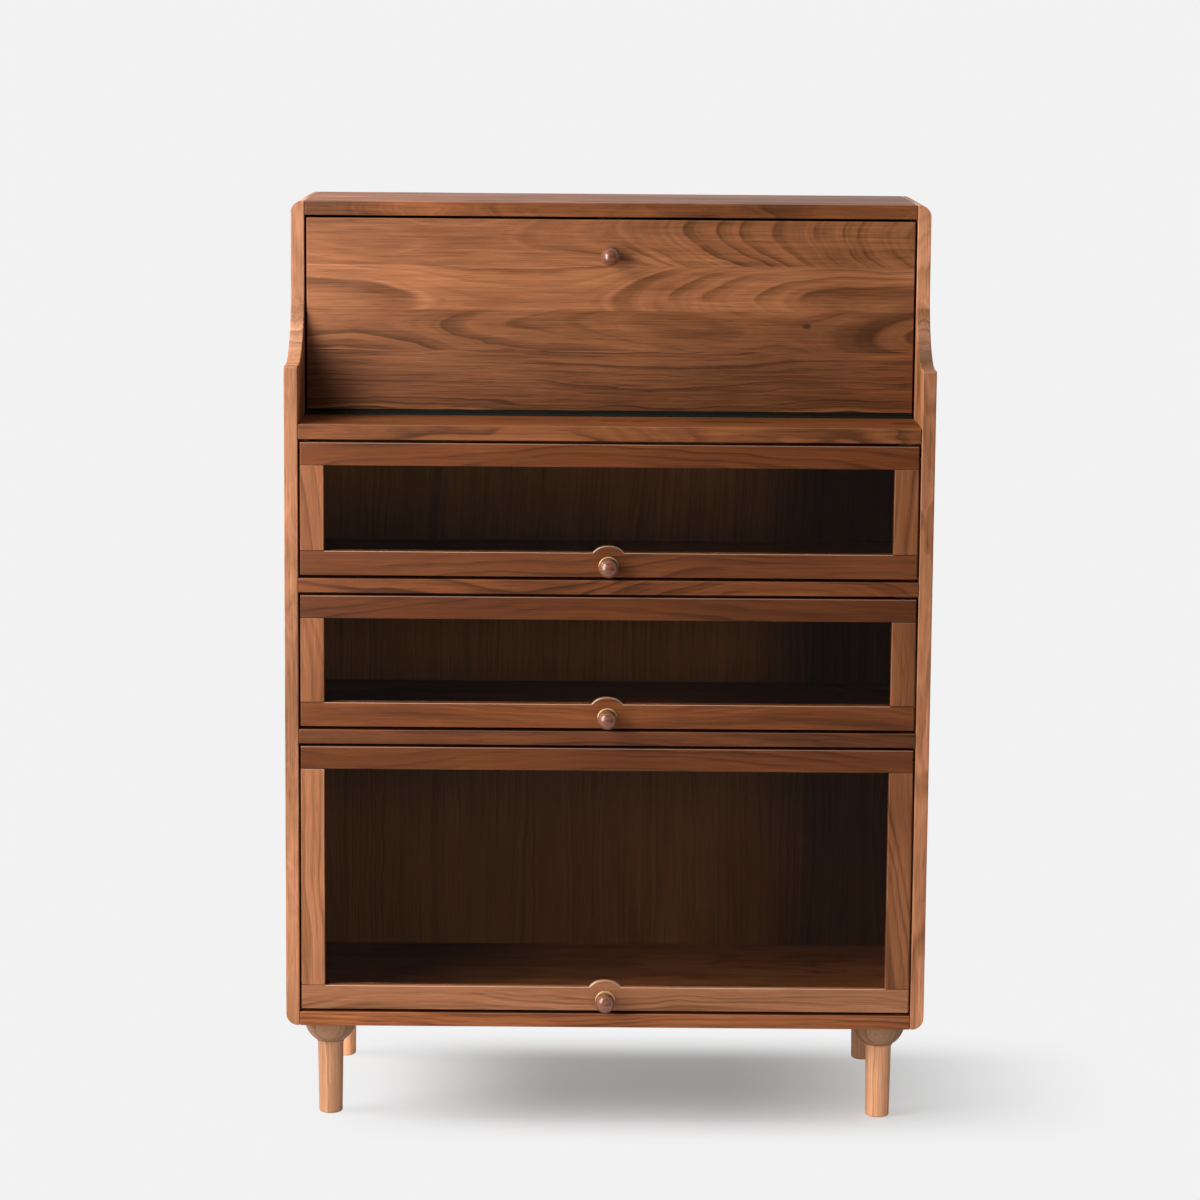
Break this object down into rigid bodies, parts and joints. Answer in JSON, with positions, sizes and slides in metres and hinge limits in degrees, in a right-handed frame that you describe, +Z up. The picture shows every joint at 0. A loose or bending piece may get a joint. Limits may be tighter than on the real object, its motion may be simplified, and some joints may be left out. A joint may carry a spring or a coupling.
{
  "type": "bar cabinet with fold out shelf",
  "caption": "Walnut bar cabinet on turned legs with a fold-out shelf flap over stacked glazed doors that flip up, ball knobs and a stepped, coved side outline.",
  "frame": {"origin": "on the floor, under the middle of the object's box (the door knobs reach in front of the case and count)", "axes": "+X to the right seen from the front, +Y to the back, +Z up"},
  "size_m": [0.9, 0.428, 1.295],
  "materials": {
    "walnut_board": "satin oiled walnut, straight and cathedral grain",
    "walnut_frame": "satin oiled walnut, straight grain along each rail and stile",
    "walnut_interior": "matt walnut veneer",
    "walnut_leg": "satin turned walnut",
    "walnut_knob": "polished turned walnut, darker than the boards",
    "door_glass": "clear float glass",
    "brass": "polished brass",
    "steel": "bright zinc-plated steel",
    "black_hinge": "matt black painted steel",
    "black_catch": "matt black plastic housing"
  },
  "bodies": {
    "cabinet": {"side_panel_left": "walnut_board", "side_panel_right": "walnut_board", "top_board": "walnut_board", "counter_board": "walnut_board", "divider_upper": "walnut_board", "divider_lower": "walnut_board", "bottom_board": "walnut_board", "back_panel": "walnut_interior", "leg_front_left": "walnut_leg", "leg_front_right": "walnut_leg", "leg_rear_left": "walnut_leg", "leg_rear_right": "walnut_leg", "leg_collar_front_left": "walnut_leg", "leg_collar_front_right": "walnut_leg", "leg_collar_rear_left": "walnut_leg", "leg_collar_rear_right": "walnut_leg", "case_hinge_leaf": "black_hinge", "hinge_pin": "steel", "flap_catch": "black_catch", "door_upper_catch": "black_catch", "door_middle_catch": "black_catch", "door_lower_catch": "black_catch"},
    "flap": {"flap_panel": "walnut_board", "flap_knob": "walnut_knob", "flap_knob_rose": "brass", "flap_hinge_leaf": "black_hinge", "flap_strike": "steel"},
    "door_upper": {"door_upper_top_rail": "walnut_frame", "door_upper_bottom_rail": "walnut_frame", "door_upper_stile_left": "walnut_frame", "door_upper_stile_right": "walnut_frame", "door_upper_glass": "door_glass", "door_upper_glass_bead": "walnut_interior", "door_upper_pivot_left": "steel", "door_upper_pivot_right": "steel", "door_upper_knob": "walnut_knob", "door_upper_knob_rose": "brass", "door_upper_strike": "steel"},
    "door_middle": {"door_middle_top_rail": "walnut_frame", "door_middle_bottom_rail": "walnut_frame", "door_middle_stile_left": "walnut_frame", "door_middle_stile_right": "walnut_frame", "door_middle_glass": "door_glass", "door_middle_glass_bead": "walnut_interior", "door_middle_pivot_left": "steel", "door_middle_pivot_right": "steel", "door_middle_knob": "walnut_knob", "door_middle_knob_rose": "brass", "door_middle_strike": "steel"},
    "door_lower": {"door_lower_top_rail": "walnut_frame", "door_lower_bottom_rail": "walnut_frame", "door_lower_stile_left": "walnut_frame", "door_lower_stile_right": "walnut_frame", "door_lower_glass": "door_glass", "door_lower_glass_bead": "walnut_interior", "door_lower_pivot_left": "steel", "door_lower_pivot_right": "steel", "door_lower_knob": "walnut_knob", "door_lower_knob_rose": "brass", "door_lower_strike": "steel"}
  },
  "joints": [
    {"name": "flap_hinge", "type": "hinge", "parent": "cabinet", "child": "flap", "pos_m": [0, -0.056, 0.9948], "axis": [1, 0, 0], "range_deg": [0, 90]},
    {"name": "door_upper_hinge", "type": "hinge", "parent": "cabinet", "child": "door_upper", "pos_m": [0, -0.176, 0.955], "axis": [-1, 0, 0], "range_deg": [0, 90]},
    {"name": "door_middle_hinge", "type": "hinge", "parent": "cabinet", "child": "door_middle", "pos_m": [0, -0.176, 0.741], "axis": [-1, 0, 0], "range_deg": [0, 90]},
    {"name": "door_lower_hinge", "type": "hinge", "parent": "cabinet", "child": "door_lower", "pos_m": [0, -0.176, 0.5275], "axis": [-1, 0, 0], "range_deg": [0, 90]}
  ]
}
